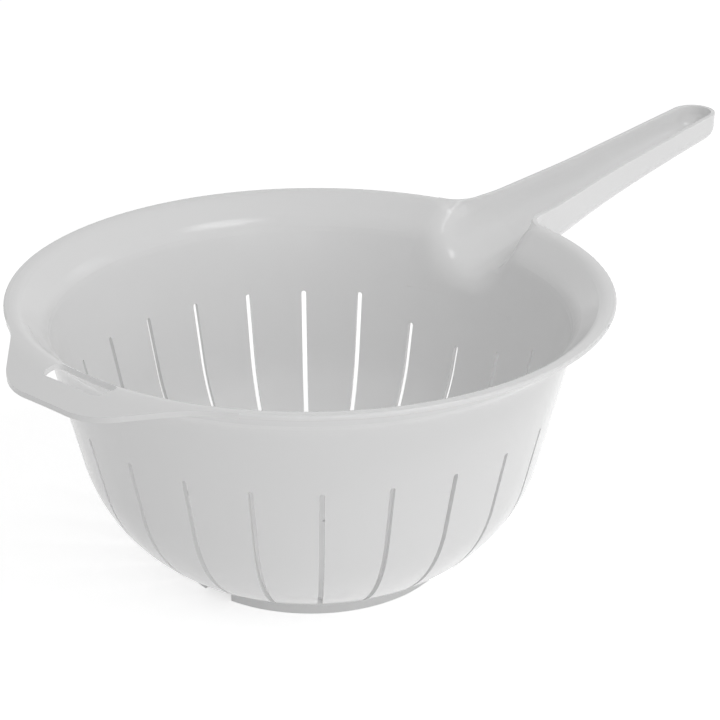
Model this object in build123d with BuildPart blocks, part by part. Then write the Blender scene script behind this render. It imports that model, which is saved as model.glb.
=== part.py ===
"""A long-handled colander: a slotted bowl, a flared rim, a scoop handle and a helper grip.

It is one injection moulding. Each node is a region of that moulding, cut from it along shared faces.
It is modelled about the bowl's axis, with Z up, the foot on Z = 0 and the long handle along +X. At the end
it is moved along X, so that the origin is halfway along the whole length.
"""

from build123d import *
import os
from math import acos, asin, atan2, cos, degrees, radians, sin, sqrt, tan

os.makedirs("parts", exist_ok=True)

# Whole moulding
wall = 2.2

# Rim and flange, on their upper face
rim_radius = 125.0
rim_height = 121.3
rim_edge_rounding = 0.9
rim_rounding = 7.0
flange_slope = 44.0
mouth_rounding = 14.0

# Side wall, on its outer face, its radius measured side_drop below the rim
flange_overhang = 14.1
side_drop = 9.3
side_lean = 13.0
belly_top_height = 52.0

# Floor and foot
floor_height = 3.6
floor_rounding = 14.0
foot_inset = 66.4
foot_outset = 2.7
foot_width = 2.4
foot_gap = 15.2
foot_gap_count = 3

# Drain slots
slot_count = 24
handle_slot_count = 3
slot_width = 2.1
slot_foot_clearance = 1.8
slot_rim_clearance = 42.8
short_slot_rim_clearance = 53.7
middle_slot_rim_clearance = 58.9
drain_count = 12
drain_inner_radius = 10.0
drain_length = 14.0

# Long handle in plan: half widths at distances from the rim
handle_length = 173.3
handle_overlap = 37.0
root_distance = 9.0
neck_distance = 73.0
start_half_width = 19.8
root_half_width = 19.1
neck_half_width = 13.7
tip_half_width = 11.3
root_easing = 100.0
neck_easing = 450.0
rim_to_handle_rounding = 8.0

# Long handle from the side: the edge stays level to a bend, the trough floor climbs on a long curve
handle_bend_distance = 21.7
handle_rise = 4.3
handle_bend_easing = 120.0
trough_distance = 46.0
trough_depth = 15.7
trough_rise = 8.8
trough_easing = 1860.0
trough_rounding = 6.5

# Helper grip
grip_length = 16.8
grip_corner_half_width = 23.1
grip_root_half_width = 53.7
grip_corner_rounding = 30.0
grip_root_rounding = 60.0
grip_bend_distance = 2.0
grip_bend_easing = 30.0
grip_fall = 12.1
finger_rim_overlap = 5.2
finger_width = 10.4
finger_near_half_length = 17.6
finger_far_half_length = 15.5
finger_rounding = 3.5

# Where the moulding is divided into its named regions
flange_zone_depth = 13.3
root_zone_overlap = 40.0
root_zone_length = 25.0
root_zone_side_margin = 11.9
root_zone_floor_margin = 21.6
grip_zone_depth = 8.5
grip_zone_side_angle = 5.6

# Places from the bowl's axis
rim_inner_radius = rim_radius - wall
side_radius = rim_radius - flange_overhang
side_radius_height = rim_height - side_drop
wall_top_height = rim_height - flange_zone_depth
foot_radius = rim_radius - foot_inset
foot_middle_radius = foot_radius - foot_width / 2
handle_start = rim_radius - handle_overlap
root_x = rim_radius + root_distance
neck_x = rim_radius + neck_distance
handle_reach = rim_radius + handle_length
handle_bend_x = rim_radius + handle_bend_distance
trough_x = rim_radius + trough_distance
trough_height = rim_height - trough_depth
root_zone_start = rim_radius - root_zone_overlap
root_zone_end = rim_radius + root_zone_length
root_zone_half_width = root_half_width + root_zone_side_margin
root_zone_height = trough_height - root_zone_floor_margin
grip_reach = rim_radius + grip_length
grip_zone_radius = rim_radius - grip_zone_depth
grip_zone_half_angle = degrees(asin(grip_root_half_width / rim_radius)) + grip_zone_side_angle
above = rim_height + 2 * root_half_width
beyond = 2 * rim_radius
lean = radians(side_lean)
slope = radians(flange_slope)

# The belly is one arc, tangent to the side wall at its top, that runs down to the floor's edge
belly_top_radius = side_radius - (side_radius_height - belly_top_height) * tan(lean)
belly_run = belly_top_radius - foot_radius + foot_outset
belly_drop = belly_top_height - floor_height
belly_rounding = (belly_run**2 + belly_drop**2) / (2 * (belly_run * cos(lean) - belly_drop * sin(lean)))
belly_x = belly_top_radius - belly_rounding * cos(lean)
belly_z = belly_top_height + belly_rounding * sin(lean)

# The section faces -X, so the bowl's seam lies under the helper grip
section_plane = Plane(origin=(0, 0, 0), x_dir=(-1, 0, 0), z_dir=(0, 1, 0))


def ring_at(body, radius, height):
    """The round edge of a turned body at a radius and a height."""
    return body.edges().filter_by(GeomType.CIRCLE).sort_by_distance((-radius, 0, height))[0]


def bowl_body(shift):
    """Solid of the space inside the bowl, its skin moved outwards by shift, open far above the rim."""
    floor_z = floor_height + wall - shift
    side_r = side_radius - (wall - shift) / cos(lean)
    belly_r = belly_rounding - wall + shift
    rim_r = rim_rounding - shift
    rim_z = rim_height - shift
    belly_end = (belly_x + belly_r * cos(lean), belly_z - belly_r * sin(lean))
    floor_r = belly_x + sqrt(belly_r**2 - (belly_z - floor_z) ** 2)
    floor_angle = degrees(atan2(belly_z - floor_z, floor_r - belly_x))
    rim_start = (rim_inner_radius - rim_r * sin(slope), rim_z - rim_r * (1 - cos(slope)))
    flange_base = rim_start[1] - rim_start[0] * tan(slope)
    mouth_r = side_r + (flange_base - side_radius_height) * tan(lean)
    mouth_r = mouth_r / (1 - tan(lean) * tan(slope))
    mouth_z = flange_base + mouth_r * tan(slope)
    with BuildPart() as body:
        with BuildSketch(section_plane):
            with BuildLine():
                Line((0, floor_z), (floor_r, floor_z))
                CenterArc((belly_x, belly_z), belly_r, -floor_angle, floor_angle - side_lean)
                Polyline(belly_end, (mouth_r, mouth_z), rim_start)
                CenterArc((rim_inner_radius, rim_z - rim_r), rim_r, 90, flange_slope)
                Polyline((rim_inner_radius, rim_z), (rim_inner_radius, above), (0, above), (0, floor_z))
            make_face()
        revolve(axis=Axis.Z)
        fillet(ring_at(body, floor_r, floor_z), floor_rounding - wall + shift)
        fillet(ring_at(body, mouth_r, mouth_z), mouth_rounding - shift)
    return body.part


def handle_plan(inset):
    """Plan of the long handle, its sides drawn in by inset."""
    tip_x = handle_reach - tip_half_width
    root = (root_x, root_half_width - inset)
    neck = (neck_x, neck_half_width - inset)
    with BuildSketch() as plan:
        with BuildLine():
            Polyline(
                (handle_start, 0),
                (handle_start, start_half_width - inset),
                root,
                neck,
                (tip_x, tip_half_width - inset),
                (tip_x, 0),
                close=True,
            )
        make_face()
        fillet(plan.vertices().sort_by_distance(root)[0], root_easing)
        fillet(plan.vertices().sort_by_distance(neck)[0], neck_easing)
        mirror(about=Plane.XZ)
        with Locations((tip_x, 0)):
            Circle(tip_half_width - inset)
    return plan.sketch


def trough_body(shift):
    """Solid of the space inside the handle's trough, its skin moved outwards by shift."""
    centre_x = trough_x + trough_easing * sin(radians(trough_rise))
    centre_z = trough_height - trough_easing * cos(radians(trough_rise))
    first_angle = degrees(acos((handle_reach + wall - centre_x) / trough_easing))
    last_angle = degrees(acos((wall - centre_x) / trough_easing))
    with BuildPart() as body:
        add(handle_plan(wall - shift))
        extrude(amount=above)
        with BuildSketch(Plane.XZ):
            with BuildLine():
                floor = CenterArc(
                    (centre_x, centre_z), trough_easing - shift, first_angle, last_angle - first_angle
                )
                far_end = floor @ 0
                near_end = floor @ 1
                Polyline(near_end, (near_end.X, above), (far_end.X, above), far_end)
            make_face()
        extrude(amount=2 * root_half_width, both=True, mode=Mode.INTERSECT)
        upright = body.edges().filter_by(lambda edge: edge.bounding_box().size.Z > root_half_width * 3 / 2)
        floor_edges = body.edges().filter_by(lambda edge: edge.center().Z < rim_height + wall)
        floor_edges = floor_edges - upright
        floor_edges = floor_edges.filter_by(lambda edge: edge.center().X > handle_start + wall)
        fillet(floor_edges, trough_rounding + shift)
    return body.part


with BuildPart() as root_zone:
    with BuildSketch(Plane.XY.offset(root_zone_height)):
        with Locations((root_zone_start, 0)):
            Rectangle(
                root_zone_end - root_zone_start,
                2 * root_zone_half_width,
                align=(Align.MIN, Align.CENTER),
            )
    extrude(amount=above)

with BuildPart() as grip_zone:
    with BuildSketch():
        with BuildLine():
            Polyline(
                (0, 0),
                (-beyond, beyond * tan(radians(grip_zone_half_angle))),
                (-beyond, -beyond * tan(radians(grip_zone_half_angle))),
                close=True,
            )
        make_face()
        Circle(grip_zone_radius, mode=Mode.SUBTRACT)
    extrude(amount=above)

with BuildPart() as below_handle_edge:
    bend_end = handle_bend_x + handle_reach
    with BuildSketch(Plane.XZ) as edge_line:
        with BuildLine():
            Polyline(
                (0, 0),
                (0, rim_height),
                (handle_bend_x, rim_height),
                (bend_end, rim_height + handle_reach * tan(radians(handle_rise))),
                (bend_end, 0),
                close=True,
            )
        make_face()
        fillet(edge_line.vertices().sort_by_distance((handle_bend_x, rim_height))[0], handle_bend_easing)
    extrude(amount=rim_radius, both=True)


# The whole bowl's skin without the handle
with BuildPart() as bowl_skin:
    add(bowl_body(wall))
    add(bowl_body(0), mode=Mode.SUBTRACT)

# Long handle
with BuildPart() as long_handle:
    add(trough_body(wall))
    add(trough_body(0), mode=Mode.SUBTRACT)
    add(below_handle_edge.part, mode=Mode.INTERSECT)
    split(bisect_by=Plane.YZ.offset(root_zone_end), keep=Keep.TOP)
long_handle.part.label = "long_handle"

# Handle root, where the trough opens through the bowl's wall and flange
with BuildPart() as handle_root:
    add(trough_body(wall))
    add(below_handle_edge.part, mode=Mode.INTERSECT)
    add(bowl_body(0), mode=Mode.SUBTRACT)
    add(bowl_skin.part)
    with BuildSketch(Plane.XY.offset(rim_height - wall)) as rim_plan:
        Circle(rim_radius)
        Circle(rim_inner_radius, mode=Mode.SUBTRACT)
        add(handle_plan(0))
        outer_corners = rim_plan.vertices().filter_by(
            lambda corner: corner.X > 0 and abs(corner.X**2 + corner.Y**2 - rim_radius**2) < wall
        )
        fillet(outer_corners, rim_to_handle_rounding)
        Circle(rim_inner_radius, mode=Mode.SUBTRACT)
    extrude(amount=wall)
    add(trough_body(0), mode=Mode.SUBTRACT)
    add(root_zone.part, mode=Mode.INTERSECT)
handle_root.part.label = "handle_root"

# Rim flange
with BuildPart() as rim_flange:
    add(bowl_skin.part)
    split(bisect_by=Plane.XY.offset(wall_top_height), keep=Keep.TOP)
    add(root_zone.part, mode=Mode.SUBTRACT)
    add(grip_zone.part, mode=Mode.SUBTRACT)
rim_flange.part.label = "rim_flange"

# Rim lip
with BuildPart() as rim_lip:
    with BuildSketch(Plane.XY.offset(rim_height - wall)):
        Circle(rim_radius)
        Circle(rim_inner_radius, mode=Mode.SUBTRACT)
    extrude(amount=wall)
    fillet(ring_at(rim_lip, rim_radius, rim_height), rim_edge_rounding)
    fillet(ring_at(rim_lip, rim_radius, rim_height - wall), rim_edge_rounding)
    add(root_zone.part, mode=Mode.SUBTRACT)
    add(grip_zone.part, mode=Mode.SUBTRACT)
rim_lip.part.label = "rim_lip"

# Helper grip
grip_bend_radius = rim_radius + grip_bend_distance
grip_end_radius = 2 * grip_reach - rim_inner_radius
grip_drop = tan(radians(grip_fall)) * (grip_end_radius - grip_bend_radius)
grip_under_bend = grip_bend_radius - wall * tan(radians(grip_fall / 2))
grip_corner = (-grip_reach, grip_corner_half_width)
grip_root = (-sqrt(rim_radius**2 - grip_root_half_width**2), grip_root_half_width)
grip_side_end = (
    grip_root[0] + (grip_root[0] - grip_corner[0]) / 2,
    grip_root[1] + (grip_root[1] - grip_corner[1]) / 2,
)
finger_near_x = -(rim_radius - finger_rim_overlap)
finger_far_x = finger_near_x - finger_width

with BuildPart() as grip_plate:
    with BuildSketch(section_plane):
        with BuildLine():
            Polyline(
                (rim_inner_radius, rim_height),
                (grip_bend_radius, rim_height),
                (grip_end_radius, rim_height - grip_drop),
                (grip_end_radius, rim_height - grip_drop - wall / cos(radians(grip_fall))),
                (grip_under_bend, rim_height - wall),
                (rim_inner_radius, rim_height - wall),
                close=True,
            )
        make_face()
    revolve(axis=Axis.Z)
    fillet(ring_at(grip_plate, grip_bend_radius, rim_height), grip_bend_easing)
    fillet(ring_at(grip_plate, grip_under_bend, rim_height - wall), grip_bend_easing - wall)

with BuildPart() as helper_grip:
    add(bowl_skin.part)
    add(grip_plate.part)
    with BuildSketch() as grip_plan:
        with BuildLine():
            Polyline((0, 0), (-grip_reach, 0), grip_corner, grip_side_end, close=True)
        make_face()
        fillet(grip_plan.vertices().sort_by_distance(grip_corner)[0], grip_corner_rounding)
        mirror(about=Plane.XZ)
        Circle(rim_radius)
        side_corners = grip_plan.vertices().sort_by_distance((-rim_radius, 0)).sort_by(Axis.Y)
        fillet([side_corners[0], side_corners[-1]], grip_root_rounding)
    extrude(amount=above, mode=Mode.INTERSECT)
    add(grip_zone.part, mode=Mode.INTERSECT)
    with BuildSketch() as finger_plan:
        with BuildLine():
            Polyline(
                (finger_near_x, finger_near_half_length),
                (finger_far_x, finger_far_half_length),
                (finger_far_x, -finger_far_half_length),
                (finger_near_x, -finger_near_half_length),
                close=True,
            )
        make_face()
        fillet(finger_plan.vertices(), finger_rounding)
    extrude(amount=above, mode=Mode.SUBTRACT)
helper_grip.part.label = "helper_grip"


def slot_cutter(rim_clearance):
    """Cutter of one upright slot towards +X, its two ends round, that stops rim_clearance below the rim."""
    first_radius = foot_radius + slot_foot_clearance
    top_height = rim_height - rim_clearance
    with BuildPart() as cutter:
        with BuildSketch(Plane.XZ):
            with BuildLine():
                Polyline(
                    (first_radius + slot_width / 2, 0),
                    (rim_radius, 0),
                    (rim_radius, top_height - slot_width / 2),
                    (first_radius + slot_width / 2, top_height - slot_width / 2),
                    close=True,
                )
            make_face()
        extrude(amount=slot_width / 2, both=True)
        with BuildSketch():
            with Locations((first_radius + slot_width / 2, 0)):
                Circle(slot_width / 2)
        extrude(amount=top_height - slot_width / 2)
        with BuildSketch(Plane.YZ.offset(first_radius + slot_width / 2)):
            with Locations((0, top_height - slot_width / 2)):
                Circle(slot_width / 2)
        extrude(amount=rim_radius - first_radius)
    return cutter.part


# Bowl wall, with shorter slots under the handle
slot_pitch = 360 / slot_count
long_slot_count = slot_count - handle_slot_count
long_slot_span = long_slot_count * slot_pitch
with BuildPart() as bowl_wall:
    add(bowl_skin.part)
    split(bisect_by=Plane.XY.offset(wall_top_height), keep=Keep.BOTTOM)
    with BuildSketch():
        Circle(foot_middle_radius)
    extrude(amount=root_zone_height, mode=Mode.SUBTRACT)
    add(root_zone.part, mode=Mode.SUBTRACT)
    with PolarLocations(0, long_slot_count, start_angle=2 * slot_pitch, angular_range=long_slot_span):
        add(slot_cutter(slot_rim_clearance), mode=Mode.SUBTRACT)
    with PolarLocations(0, 2, start_angle=-slot_pitch, angular_range=4 * slot_pitch):
        add(slot_cutter(short_slot_rim_clearance), mode=Mode.SUBTRACT)
    add(slot_cutter(middle_slot_rim_clearance), mode=Mode.SUBTRACT)
bowl_wall.part.label = "bowl_wall"

# Bowl floor
drain_pitch = 360 / drain_count
drain_middle_radius = drain_inner_radius + drain_length / 2
with BuildPart() as bowl_floor:
    add(bowl_skin.part)
    with BuildSketch():
        Circle(foot_middle_radius)
    extrude(amount=root_zone_height, mode=Mode.INTERSECT)
    with BuildSketch():
        with PolarLocations(drain_middle_radius, drain_count, start_angle=drain_pitch / 2):
            SlotOverall(drain_length, slot_width)
    extrude(amount=root_zone_height, mode=Mode.SUBTRACT)
bowl_floor.part.label = "bowl_floor"

# Foot ring, cut from below by the bowl's outer face
with BuildPart() as foot_ring:
    with BuildSketch():
        Circle(foot_radius)
        Circle(foot_radius - foot_width, mode=Mode.SUBTRACT)
        with PolarLocations(foot_radius, foot_gap_count, start_angle=180):
            Rectangle(2 * foot_gap, foot_gap, mode=Mode.SUBTRACT)
    extrude(amount=belly_top_height)
    add(bowl_body(wall), mode=Mode.SUBTRACT)
foot_ring.part.label = "foot_ring"

pieces = (
    bowl_wall,
    bowl_floor,
    foot_ring,
    rim_flange,
    rim_lip,
    handle_root,
    long_handle,
    helper_grip,
)
middle_x = (handle_reach - grip_reach) / 2
for piece in pieces:
    placed = piece.part.moved(Location((-middle_x, 0, 0)))
    placed.label = piece.part.label
    export_step(placed, "parts/" + piece.part.label + ".step")
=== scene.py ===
import math

import bpy
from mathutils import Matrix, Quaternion, Vector


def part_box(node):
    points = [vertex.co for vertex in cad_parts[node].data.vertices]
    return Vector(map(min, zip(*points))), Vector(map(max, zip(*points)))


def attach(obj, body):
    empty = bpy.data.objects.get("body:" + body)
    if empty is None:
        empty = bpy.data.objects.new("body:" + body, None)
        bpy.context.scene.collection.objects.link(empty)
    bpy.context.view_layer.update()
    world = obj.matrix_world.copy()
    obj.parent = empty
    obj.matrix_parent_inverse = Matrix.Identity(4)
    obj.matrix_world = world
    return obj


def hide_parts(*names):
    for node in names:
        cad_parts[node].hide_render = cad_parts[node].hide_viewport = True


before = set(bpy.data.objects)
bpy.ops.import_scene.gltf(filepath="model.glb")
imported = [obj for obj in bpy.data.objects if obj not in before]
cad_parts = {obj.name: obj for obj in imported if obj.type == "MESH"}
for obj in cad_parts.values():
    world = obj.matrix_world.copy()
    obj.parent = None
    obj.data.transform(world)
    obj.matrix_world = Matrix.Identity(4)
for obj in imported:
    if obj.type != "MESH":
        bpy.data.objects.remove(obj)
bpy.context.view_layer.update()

# The bowl's axis on the standing plane: everything round is placed from it.
# Its y is exactly 0, so that the mirrored half of the handle joins the first half.
floorLow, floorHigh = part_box("bowl_floor")
bowlAxis = Vector(((floorLow.x + floorHigh.x) / 2, 0, 0))
millimetresInMetre = 1000
plainWhite = (1, 1, 1, 1)
print("colander: frame loaded, bowl axis at x", round(bowlAxis.x, 4))

# Camera, fitted to the rim, the foot and the slots in the photo: metres from the bowl's axis
photoView = {
    "place": (-0.53825, -0.50300, 0.41373),
    "target": (0.02109, -0.00838, 0.08314),
    "roll": 0.133,  # degrees
    "lens": 96.17,  # millimetres
    "sensor": 36,
    "clip": (0.01, 50),
}


def addCamera(view):
    place = bowlAxis + Vector(view["place"])
    target = bowlAxis + Vector(view["target"])
    bpy.ops.object.camera_add(location=place)
    camera = bpy.context.object
    camera.name = "photoCamera"
    aim = (target - place).to_track_quat("-Z", "Y")
    roll = Quaternion((0, 0, 1), math.radians(view["roll"]))
    camera.rotation_euler = (aim @ roll).to_euler()
    camera.data.lens = view["lens"]
    camera.data.sensor_width = view["sensor"]
    camera.data.clip_start, camera.data.clip_end = view["clip"]
    bpy.context.scene.camera = camera


addCamera(photoView)
print("camera set")


# sRGB hex to linear
def linearColour(hexCode):
    parts = [int(hexCode[i:i + 2], 16) / 255 for i in (1, 3, 5)]
    return tuple(p / 12.92 if p <= 0.04045 else ((p + 0.055) / 1.055) ** 2.4 for p in parts) + (1,)


def addNode(tree, kind, settings=None, links=None):
    node = tree.nodes.new(kind)
    for name, value in (settings or {}).items():
        if name in node.inputs:
            node.inputs[name].default_value = value
        else:
            setattr(node, name, value)
    for name, source in (links or {}).items():
        tree.links.new(source, node.inputs[name])
    return node


def newMaterial(name):
    material = bpy.data.materials.new(name)
    material.use_nodes = True
    material.node_tree.nodes.clear()
    return material, material.node_tree


# Polypropylene, injection moulded in a polished tool: a dense milky white with a soft, wide gloss.
# Its index is under the 1.49 of clean polypropylene, for the dull edges in the photo.
polypropylene = {
    "colour": "#F4F4F4",
    "shade": "#F2F2F2",
    "ior": 1.38,
    "roughness": (0.15, 0.18),
    "clouding": 0.045,  # metres across one patch of slightly duller gloss
    "cloudRange": (0.1, 0.9),  # the part of the noise that the patches use
    "ripple": 0.006,  # metres across the tool's fine waviness
    "rippleHeight": 0.00001,
    "rippleStrength": 0.2,
}


def mouldedPolypropylene(look):
    material, tree = newMaterial("mouldedWhitePolypropylene")
    place = addNode(tree, "ShaderNodeTexCoord")
    clouds = addNode(tree, "ShaderNodeTexNoise", {"Scale": 1 / look["clouding"], "Detail": 0.0},
                     {"Vector": place.outputs["Object"]})
    colour = addNode(tree, "ShaderNodeMix", {"data_type": "RGBA"},
                     {"Factor": clouds.outputs["Fac"]})
    colour.inputs[6].default_value = linearColour(look["colour"])  # sockets A and B for colours
    colour.inputs[7].default_value = linearColour(look["shade"])
    gloss = addNode(tree, "ShaderNodeMapRange",
                    {"From Min": look["cloudRange"][0], "From Max": look["cloudRange"][1],
                     "To Min": look["roughness"][0], "To Max": look["roughness"][1]},
                    {"Value": clouds.outputs["Fac"]})
    ripple = addNode(tree, "ShaderNodeTexNoise", {"Scale": 1 / look["ripple"], "Detail": 0.0},
                     {"Vector": place.outputs["Object"]})
    bump = addNode(tree, "ShaderNodeBump",
                   {"Strength": look["rippleStrength"], "Distance": look["rippleHeight"]},
                   {"Height": ripple.outputs["Fac"]})
    shader = addNode(tree, "ShaderNodeBsdfPrincipled", {"IOR": look["ior"]},
                     {"Base Color": colour.outputs[2], "Roughness": gloss.outputs["Result"],
                      "Normal": bump.outputs["Normal"]})
    addNode(tree, "ShaderNodeOutputMaterial", None, {"Surface": shader.outputs["BSDF"]})
    return material


whitePlastic = mouldedPolypropylene(polypropylene)

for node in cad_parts.values():
    node.data.materials.clear()
    node.data.materials.append(whitePlastic)
print("materials set")

# The handle: a scoop that opens through the bowl's wall, and its long trough.
# Lengths are millimetres from the bowl's axis and the standing plane.

# the bowl's inner face, as the CAD has it
bowlInside = {
    "rimRadius": 122.8,
    "rimHeight": 121.3,
    "rimRounding": 7.0,
    "flangeSlope": 44.0,  # degrees from level
    "mouthRounding": 14.0,
    "sideRadius": 108.642,
    "sideHeight": 112.0,
    "sideLean": 13.0,  # degrees from upright
    "longestWayDown": 80.0,  # from the rim, along the face
}

handleShape = {
    "wall": 2.2,
    # the outer outline from above, as distance, half width and easing
    "plan": ((88.0, 19.8, 0), (134.0, 19.1, 100.0), (198.0, 13.7, 450.0), (287.0, 11.3, 0)),
    "floorPoint": (171.0, 105.6),
    "floorRise": 8.8,  # degrees
    "floorEasing": 1860.0,
    "floorRounding": 0.85,  # share of the inner half width, on the inner face
    "underRounding": ((126.0, 0.8), (150.0, 0.52)),  # distance and share, on the outer face
    "edgeBend": 146.7,
    "edgeRise": 4.3,  # degrees
    "edgeEasing": 120.0,
    "scoopRounding": (12.0, 14.0),  # lower down, and at the rim
    "scoopRoundingHeights": (108.0, 121.3),
    "edgeRounding": 0.9,
    "lipRounding": 0.9,
    "reach": (31.0, 84.0),  # half width and lowest height of the piece on the bowl
    "overrun": 4.0,  # built beyond the reach, then cut away
    "seamRange": (88.0, 126.0),  # where the trough meets the bowl's inner face
    "easedPart": ((96.0, 142.0), 27.0, (88.0, 118.7)),  # along, half width, and heights
    "easingRounds": 6,
    "easingStrength": 0.5,
    "floorRows": 6,
    "roundingRows": 6,
    "sideRows": 24,
    "wallColumns": 18,
    "troughColumns": 48,
    "tipColumns": 12,
    "columnGrowth": 2,  # the columns widen towards the tip by e to this power
    "outerStart": 1.4,  # walls below the inner face, before the outer face is settled
    "rimInset": 0.02,  # how far down the face the sheet's end stays from the rim's edge
    "settleRounds": 14,
    "settleError": 0.00001,
    "levelProbe": 0.01,  # an edge is looked for this far above it, where the face is upright
    "oneFace": 0.999,  # cosine between faces above which there is no edge left to round
    "centreNudge": 1e-9,  # gives a point of the middle line a side
    "mergeDistance": 0.000002,  # metres
    "bevelSegments": 4,
    "smoothAngle": 40,  # degrees
}

# rows run from the middle of the floor up the inner face, and down again on the outer face
sideStart = handleShape["floorRows"] + handleShape["roundingRows"]
topRow = sideStart + handleShape["sideRows"]
lastRow = 2 * topRow + 3
# columns run from the sheet's end on the bowl to the tip
tipStart = handleShape["wallColumns"] + handleShape["troughColumns"]
lastColumn = tipStart + handleShape["tipColumns"]


def direction(degrees):
    return Vector((math.cos(math.radians(degrees)), math.sin(math.radians(degrees))))


def clamped(share):
    return min(max(share, 0), 1)


def eased(share):
    share = clamped(share)
    return share * share * (3 - 2 * share)


# adds the lines and roundings of the inner face, from the rim down
def bowlProfile(shape):
    wallOut = direction(-shape["sideLean"])
    flangeOut = direction(shape["flangeSlope"] - 90)
    wallUp = Vector((-wallOut.y, wallOut.x))
    flangeUp = Vector((-flangeOut.y, flangeOut.x))
    rimCentre = Vector((shape["rimRadius"], shape["rimHeight"] - shape["rimRounding"]))
    flangeTop = rimCentre - shape["rimRounding"] * flangeOut
    side = Vector((shape["sideRadius"], shape["sideHeight"]))
    climb = (flangeTop - side).dot(flangeOut) / wallUp.dot(flangeOut)
    mouth = side + climb * wallUp
    spread = 1 + wallOut.dot(flangeOut)
    mouthCentre = mouth + (wallOut + flangeOut) * shape["mouthRounding"] / spread
    mouthTurn = 90 - shape["flangeSlope"] - shape["sideLean"]
    flangeFoot = mouthCentre - shape["mouthRounding"] * flangeOut
    return dict(
        shape, wallOut=wallOut, wallUp=wallUp, flangeOut=flangeOut, flangeUp=flangeUp,
        rimCentre=rimCentre, rimArc=shape["rimRounding"] * math.radians(shape["flangeSlope"]),
        flangeTop=flangeTop, flangeFoot=flangeFoot, flangeLength=(flangeTop - flangeFoot).length,
        mouthCentre=mouthCentre, mouthTurn=mouthTurn,
        mouthArc=shape["mouthRounding"] * math.radians(mouthTurn),
        wallTop=mouthCentre - shape["mouthRounding"] * wallOut,
    )


bowl = bowlProfile(bowlInside)


# radius and height after a length down the inner face from the rim
def downTheBowl(length):
    if length < bowl["rimArc"]:
        turn = bowl["flangeSlope"] * max(length, 0) / bowl["rimArc"] - 90
        return bowl["rimCentre"] - bowl["rimRounding"] * direction(turn)
    length -= bowl["rimArc"]
    if length < bowl["flangeLength"]:
        return bowl["flangeTop"] - length * bowl["flangeUp"]
    length -= bowl["flangeLength"]
    if length < bowl["mouthArc"]:
        turn = bowl["flangeSlope"] - 90 + bowl["mouthTurn"] * length / bowl["mouthArc"]
        return bowl["mouthCentre"] - bowl["mouthRounding"] * direction(turn)
    return bowl["wallTop"] - (length - bowl["mouthArc"]) * bowl["wallUp"]


# where a rising function passes zero
def solve(function, low, high, halvings=40):
    for halving in range(halvings):
        middle = (low + high) / 2
        low, high = (middle, high) if function(middle) < 0 else (low, middle)
    return (low + high) / 2


def lengthDownTo(height):
    return solve(lambda length: height - downTheBowl(length).y, 0, bowl["longestWayDown"])


# how deep a point lies in the plastic behind the bowl's inner face, and which way is deeper
def depthUnderBowl(point):
    radius = math.hypot(point.x, point.y)
    place = Vector((radius, point.z))
    fromRim = place - Vector((bowl["rimRadius"], bowl["rimHeight"]))
    fromFlange = place - bowl["flangeTop"]
    if fromRim.y >= 0:
        depth, out = fromRim.x, Vector((1, 0))
    elif fromRim.x > 0:
        depth, out = fromRim.length, fromRim.normalized()
        under = fromFlange.dot(bowl["flangeOut"])
        if fromFlange.dot(bowl["flangeUp"]) < 0 and under < depth:
            depth, out = under, bowl["flangeOut"]
    elif fromFlange.dot(bowl["flangeUp"]) > 0:
        arm = place - bowl["rimCentre"]
        depth, out = bowl["rimRounding"] - arm.length, -arm.normalized()
    elif (place - bowl["flangeFoot"]).dot(bowl["flangeUp"]) > 0:
        depth, out = (place - bowl["flangeFoot"]).dot(bowl["flangeOut"]), bowl["flangeOut"]
    elif (place - bowl["wallTop"]).dot(bowl["wallUp"]) > 0:
        arm = place - bowl["mouthCentre"]
        depth, out = bowl["mouthRounding"] - arm.length, -arm.normalized()
    else:
        depth, out = (place - bowl["wallTop"]).dot(bowl["wallOut"]), bowl["wallOut"]
    return depth, Vector((out.x * point.x / radius, out.x * point.y / radius, out.y))


# height and slope of a line through corners, each corner eased by its own radius
def easedLine(x, corners):
    slopes = [(b[1] - a[1]) / (b[0] - a[0]) for a, b in zip(corners, corners[1:])]
    for corner, before, after in zip(corners[1:-1], slopes, slopes[1:]):
        reach = corner[2] * abs(after - before) / 2
        if x < corner[0] - reach:
            return corner[1] + before * (x - corner[0]), before
        if x < corner[0] + reach:
            run = x - corner[0] + reach
            bend = (after - before) / (2 * reach)
            height = corner[1] + before * (x - corner[0]) + bend * run * run / 2
            return height, before + bend * run
    return corners[-1][1] + slopes[-1] * (x - corners[-1][0]), slopes[-1]


# the inner half width and its slope
def troughHalfWidth(x):
    width, slope = easedLine(min(x, handleShape["plan"][-1][0]), handleShape["plan"])
    return width - handleShape["wall"], slope


def edgeHeight(x):
    bend, rise = handleShape["edgeBend"], math.tan(math.radians(handleShape["edgeRise"]))
    height = bowl["rimHeight"]
    corners = ((0, height, 0), (bend, height, handleShape["edgeEasing"]),
               (2 * bend, height + bend * rise, 0))
    return easedLine(x, corners)[0]


# the floor is an arc of a very large circle, which curves down towards both ends
floorOut = direction(handleShape["floorRise"] - 90)
troughCentre = Vector(handleShape["floorPoint"]) + handleShape["floorEasing"] * floorOut


def troughFloor(x):
    return troughCentre.y + math.sqrt(handleShape["floorEasing"] ** 2 - (x - troughCentre.x) ** 2)


# how round the trough's bottom corners are, as a share of its half width
def roundingShare(x, outer):
    if not outer:
        return handleShape["floorRounding"]
    (near, larger), (far, smaller) = handleShape["underRounding"]
    return larger + (smaller - larger) * clamped((x - near) / (far - near))


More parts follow.
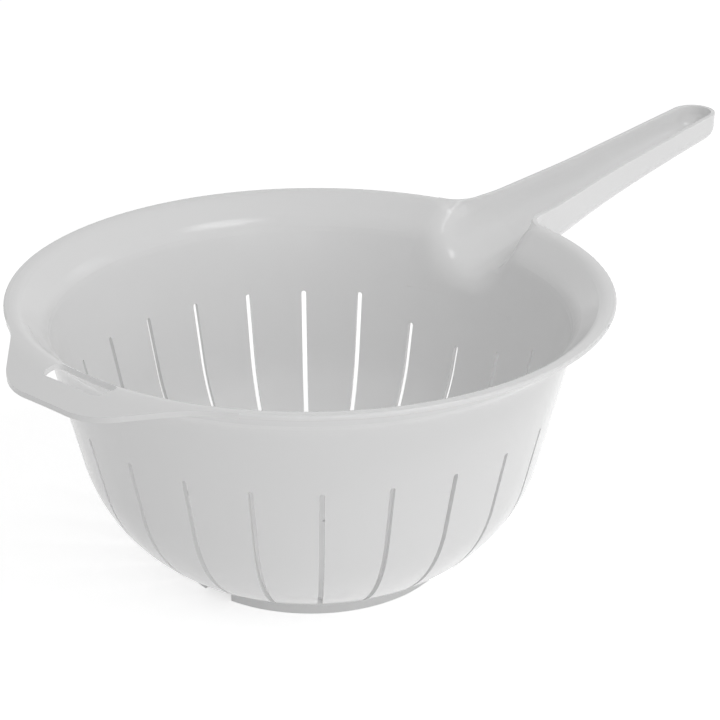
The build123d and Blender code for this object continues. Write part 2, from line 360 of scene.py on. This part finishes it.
# how deep a point lies in the plastic behind the trough's inner face, and which way is deeper
def depthUnderTrough(point, outer):
    tip = handleShape["plan"][-1][0]
    width, slope = troughHalfWidth(point.x)
    if point.x > tip:
        arm = Vector((point.x - tip, point.y))
        beside, sideways = arm.length - width, Vector((arm.x, arm.y, 0)).normalized()
    else:
        side = math.copysign(1, point.y + handleShape["centreNudge"])
        sideways = Vector((-slope, side, 0)).normalized()
        beside = (abs(point.y) - width) * abs(sideways.y)
    arm = Vector((point.x, point.z)) - troughCentre
    under, down = handleShape["floorEasing"] - arm.length, Vector((-arm.x, 0, -arm.y)).normalized()
    rounding = roundingShare(point.x, outer) * width
    if beside > -rounding and under > -rounding:
        out = sideways * (beside + rounding) + down * (under + rounding)
        return out.length - rounding, out.normalized()
    return (beside, sideways) if beside > under else (under, down)


# depth behind the joined inner face, with the edge between bowl and trough rounded
def depthInSkin(point, outer=False):
    first, firstWay = depthUnderBowl(point)
    second, secondWay = depthUnderTrough(point, outer)
    low, high = handleShape["scoopRoundingHeights"]
    smaller, larger = handleShape["scoopRounding"]
    rounding = smaller + (larger - smaller) * eased((point.z - low) / (high - low))
    across = firstWay.dot(secondWay)
    firstArm = rounding - first - across * (rounding - second)
    secondArm = rounding - second - across * (rounding - first)
    if firstArm > 0 and secondArm > 0 and across < handleShape["oneFace"]:
        out = (firstWay * firstArm + secondWay * secondArm) / (1 - across * across)
        return rounding - out.length, out.normalized()
    return (first, firstWay) if first < second else (second, secondWay)


# moves a point to that depth, and keeps its height where level is asked for
def settle(point, depth, level=False, outer=False):
    point = point.copy()
    for attempt in range(handleShape["settleRounds"]):
        probe = point + Vector((0, 0, handleShape["levelProbe"])) if level else point
        found, way = depthInSkin(probe, outer)
        if level:
            way = Vector((way.x, way.y, 0)).normalized()
        point -= way * (found - depth)
        if abs(found - depth) < handleShape["settleError"]:
            break
    return point, way


# a point of the trough's section at x, or of the section turned about the tip
def troughPoint(x, turn, row, drop):
    shape = handleShape
    width = troughHalfWidth(x)[0]
    rounding = roundingShare(x, drop > 0) * width
    if row <= shape["floorRows"]:
        beside, lift = (width - rounding) * row / shape["floorRows"], 0
    elif row <= sideStart:
        angle = math.pi / 2 * (row - shape["floorRows"]) / shape["roundingRows"]
        beside = width - rounding + rounding * math.sin(angle)
        lift = rounding * (1 - math.cos(angle))
    else:
        beside, lift = width, rounding
    along = x + beside * math.sin(turn)
    base = troughFloor(along)
    if row > sideStart:
        height = edgeHeight(along) - drop - base - rounding
        lift += height * (row - sideStart) / shape["sideRows"]
    return Vector((along, beside * math.cos(turn), base + lift))


# the sheet's end on the bowl, as a sideways place and a length down the face
def bowlEdgePoint(row):
    shape = handleShape
    side = shape["reach"][0] + shape["overrun"]
    lowest = lengthDownTo(shape["reach"][1] - shape["overrun"])
    corner = lengthDownTo(shape["reach"][1] + 2 * shape["overrun"])
    half = shape["roundingRows"] / 2
    if row <= shape["floorRows"] + half:
        return Vector((side * row / (shape["floorRows"] + half), lowest))
    if row <= sideStart:
        share = (row - shape["floorRows"] - half) / half
        return Vector((side, lowest + (corner - lowest) * share))
    return Vector((side, max(corner * (1 - (row - sideStart) / shape["sideRows"]),
                             shape["rimInset"])))


# a point of the sharp sheet, before its scoop is rounded
def sheetPoint(column, row, drop):
    shape = handleShape
    tip = shape["plan"][-1][0]
    seam = solve(lambda x: depthUnderBowl(troughPoint(x, 0, row, drop))[0], *shape["seamRange"])
    if column < shape["wallColumns"]:
        start = troughPoint(seam, 0, row, drop)
        onBowl = Vector((start.y, lengthDownTo(min(start.z, bowl["rimHeight"]))))
        place = bowlEdgePoint(row).lerp(onBowl, column / shape["wallColumns"])
        found = downTheBowl(place.y)
        return Vector((math.sqrt(found.x ** 2 - place.x ** 2), place.x, found.y))
    if column <= tipStart:
        growth = shape["columnGrowth"]
        share = (column - shape["wallColumns"]) / shape["troughColumns"]
        share = (math.exp(growth * share) - 1) / (math.exp(growth) - 1)
        return troughPoint(seam + (tip - seam) * share, 0, row, drop)
    turn = math.pi / 2 * (column - tipStart) / shape["tipColumns"]
    return troughPoint(tip, turn, row, drop)


# one line of points: up the inner face, over the edge and down the outer face
def handleColumn(column):
    wall = handleShape["wall"]
    inner = [settle(sheetPoint(column, row, 0), 0)[0] for row in range(topRow)]
    edge, way = settle(sheetPoint(column, topRow, 0), 0, level=True)
    lip = settle(edge + way * wall, wall, level=True)[0]
    under = lip - Vector((0, 0, wall))
    outer = []
    for row in range(topRow, -1, -1):
        start = sheetPoint(column, row, wall * handleShape["outerStart"])
        point, way = settle(start, 0, outer=True)
        outer.append(settle(point + way * wall, wall, outer=True)[0])
    return inner + [edge, lip, under] + outer


# the share of the widest bevel on an edge of the rim or the handle
def softenedEdges(column, row):
    share = eased(2 * column / handleShape["wallColumns"] - 1)
    narrow = handleShape["edgeRounding"] / handleShape["lipRounding"]
    weights = {topRow: narrow * share, topRow + 1: 1 + (narrow - 1) * share, topRow + 2: 1 - share}
    return weights.get(row, 0)


def deselectAll():
    bpy.ops.object.select_all(action="DESELECT")


# one half of the handle as a grid, with the bevel weights of its edges
def addHalfSheet():
    places = [handleColumn(column) for column in range(lastColumn + 1)]
    deselectAll()
    bpy.ops.mesh.primitive_grid_add(x_subdivisions=lastColumn, y_subdivisions=lastRow, size=2,
                                    location=(0, 0, 0))
    handle = bpy.context.object
    handle.name = "scoopHandle"
    mesh = handle.data
    grid = [(round((vertex.co.x + 1) / 2 * lastColumn), round((vertex.co.y + 1) / 2 * lastRow))
            for vertex in mesh.vertices]
    for vertex, (column, row) in zip(mesh.vertices, grid):
        place = places[column][row]
        if row in (0, lastRow) or column == lastColumn:
            place.y = 0
        vertex.co = place / millimetresInMetre + bowlAxis
    weights = mesh.attributes.new("bevel_weight_edge", "FLOAT", "EDGE")
    for edge in mesh.edges:
        (column, row), (otherColumn, otherRow) = (grid[i] for i in edge.vertices)
        if row == otherRow:
            weights.data[edge.index].value = softenedEdges((column + otherColumn) / 2, row)
    return handle


def mirrorHalf(handle):
    bpy.ops.object.modifier_add(type="MIRROR")
    mirror = handle.modifiers["Mirror"]
    mirror.use_axis = (False, True, False)
    mirror.merge_threshold = handleShape["mergeDistance"]
    bpy.ops.object.modifier_apply(modifier="Mirror")
    bpy.ops.object.mode_set(mode="EDIT")
    bpy.ops.mesh.select_mode(type="EDGE")
    bpy.ops.mesh.select_all(action="SELECT")
    bpy.ops.mesh.remove_doubles(threshold=handleShape["mergeDistance"])


# evens out the folds where the scoop meets the wall, from edit mode
def easeFolds(mesh):
    bpy.ops.mesh.select_mode(type="VERT")
    bpy.ops.mesh.select_all(action="DESELECT")
    bpy.ops.object.mode_set(mode="OBJECT")
    (near, far), halfWidth, (low, high) = handleShape["easedPart"]
    for vertex in mesh.vertices:
        place = (vertex.co - bowlAxis) * millimetresInMetre
        vertex.select = near < place.x < far and abs(place.y) < halfWidth and low < place.z < high
    bpy.ops.object.mode_set(mode="EDIT")
    bpy.ops.mesh.vertices_smooth(factor=handleShape["easingStrength"],
                                 repeat=handleShape["easingRounds"])


# joins the inner and the outer face at the sheet's end on the bowl, from edit mode
def joinFaces(mesh):
    bpy.ops.mesh.select_mode(type="EDGE")
    bpy.ops.mesh.select_all(action="DESELECT")
    bpy.ops.mesh.select_non_manifold()
    bpy.ops.object.mode_set(mode="OBJECT")
    half = handleShape["wall"] / 2
    for edge in mesh.edges:
        if edge.select:
            ends = [depthInSkin((mesh.vertices[i].co - bowlAxis) * millimetresInMetre)[0]
                    for i in edge.vertices]
            edge.select = (ends[0] > half) == (ends[1] > half)
    bpy.ops.object.mode_set(mode="EDIT")
    bpy.ops.mesh.bridge_edge_loops()
    bpy.ops.mesh.select_all(action="SELECT")
    bpy.ops.mesh.normals_make_consistent(inside=False)


# cuts the piece in edit mode and closes the cut
def cutAway(place, way, keepAbove):
    bpy.ops.mesh.select_all(action="SELECT")
    bpy.ops.mesh.bisect(plane_co=place, plane_no=way, use_fill=True, clear_inner=keepAbove,
                        clear_outer=not keepAbove)


def trimToReach(mesh):
    side, lowest = (value / millimetresInMetre for value in handleShape["reach"])
    cutAway((0, side, 0), (0, 1, 0), False)
    cutAway((0, -side, 0), (0, 1, 0), True)
    cutAway((0, 0, lowest), (0, 0, 1), True)
    bpy.ops.mesh.select_all(action="DESELECT")
    bpy.ops.mesh.select_non_manifold()
    bpy.ops.object.mode_set(mode="OBJECT")
    print("handle: open edges left", sum(edge.select for edge in mesh.edges))


def roundEdges(handle):
    bpy.ops.object.modifier_add(type="BEVEL")
    bevel = handle.modifiers["Bevel"]
    bevel.limit_method = "WEIGHT"
    bevel.width = handleShape["lipRounding"] / millimetresInMetre
    bevel.segments = handleShape["bevelSegments"]
    bpy.ops.object.modifier_apply(modifier="Bevel")
    bpy.ops.object.shade_smooth_by_angle(angle=math.radians(handleShape["smoothAngle"]))


def addHandle():
    handle = addHalfSheet()
    mirrorHalf(handle)
    easeFolds(handle.data)
    joinFaces(handle.data)
    trimToReach(handle.data)
    roundEdges(handle)
    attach(handle, "root")
    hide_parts("handle_root", "long_handle")
    handle.data.materials.append(whitePlastic)


addHandle()
print("handle and scoop built")

# Studio: white paper, a white surround and four soft boxes. Metres from the bowl's axis, and watts.
studio = {
    "floorSize": 6.0,
    "floorFill": 0.53,  # what the eye sees of the white paper beyond the light that falls on it
    "worldStrength": 0.445,
    "background": 1.0,
    "softBoxes": {
        "sideSoftBox": {"place": (0.05, -1.40, 0.62), "aim": (0, 0, 0.06),
                        "size": (1.2, 0.9), "power": 1.5},
        "lowSoftBox": {"place": (-0.75, -1.35, 0.30), "aim": (0, 0, 0.05),
                       "size": (1.2, 0.5), "power": 1.8},
        "highSoftBox": {"place": (0.10, -0.68, 1.05), "aim": (0, 0, 0.10),
                        "size": (0.46, 0.34), "power": 2.6},
        "backSoftBox": {"place": (1.30, -0.34, 0.70), "aim": (0, 0, 0.10),
                        "size": (0.6, 0.4), "power": 0.8},
    },
}


# one where the eye or a reflection meets the studio, and nought for the light it sheds
def seenWhite(tree):
    rays = addNode(tree, "ShaderNodeLightPath")
    first = addNode(tree, "ShaderNodeMath", {"operation": "MAXIMUM"},
                    {0: rays.outputs["Is Camera Ray"], 1: rays.outputs["Is Glossy Ray"]})
    both = addNode(tree, "ShaderNodeMath", {"operation": "MAXIMUM"},
                   {0: first.outputs[0], 1: rays.outputs["Is Transmission Ray"]})
    return both.outputs[0]


# white paper, with an even glow that only the eye and reflections see
def addFloor(settings):
    deselectAll()
    bpy.ops.mesh.primitive_plane_add(size=settings["floorSize"], location=(0, 0, 0))
    floor = bpy.context.object
    floor.name = "paleFloor"
    material, tree = newMaterial("whitePaperSweep")
    seen = seenWhite(tree)
    paper = addNode(tree, "ShaderNodeBsdfDiffuse", {"Color": plainWhite})
    strength = addNode(tree, "ShaderNodeMath", {"operation": "MULTIPLY"}, {0: seen})
    strength.inputs[1].default_value = settings["floorFill"]
    fill = addNode(tree, "ShaderNodeEmission", {"Color": plainWhite},
                   {"Strength": strength.outputs[0]})
    both = addNode(tree, "ShaderNodeAddShader", None, {0: paper.outputs[0], 1: fill.outputs[0]})
    addNode(tree, "ShaderNodeOutputMaterial", None, {"Surface": both.outputs[0]})
    floor.data.materials.append(material)


def addWorld(settings):
    world = bpy.data.worlds.new("softStudio")
    bpy.context.scene.world = world
    world.use_nodes = True
    tree = world.node_tree
    tree.nodes.clear()
    glow = addNode(tree, "ShaderNodeBackground",
                   {"Color": plainWhite, "Strength": settings["worldStrength"]})
    white = addNode(tree, "ShaderNodeBackground",
                    {"Color": plainWhite, "Strength": settings["background"]})
    mix = addNode(tree, "ShaderNodeMixShader", None,
                  {0: seenWhite(tree), 1: glow.outputs[0], 2: white.outputs[0]})
    addNode(tree, "ShaderNodeOutputWorld", None, {"Surface": mix.outputs[0]})


def addSoftBox(name, settings):
    place, target = bowlAxis + Vector(settings["place"]), bowlAxis + Vector(settings["aim"])
    bpy.ops.object.light_add(type="AREA", location=place)
    lamp = bpy.context.object
    lamp.name = name
    lamp.rotation_euler = (target - place).to_track_quat("-Z", "Y").to_euler()
    lamp.data.shape = "RECTANGLE"
    lamp.data.size, lamp.data.size_y = settings["size"]
    lamp.data.energy = settings["power"]


bpy.context.scene.view_settings.view_transform = "Standard"
addFloor(studio)
addWorld(studio)
for name, softBox in studio["softBoxes"].items():
    addSoftBox(name, softBox)
print("studio set")
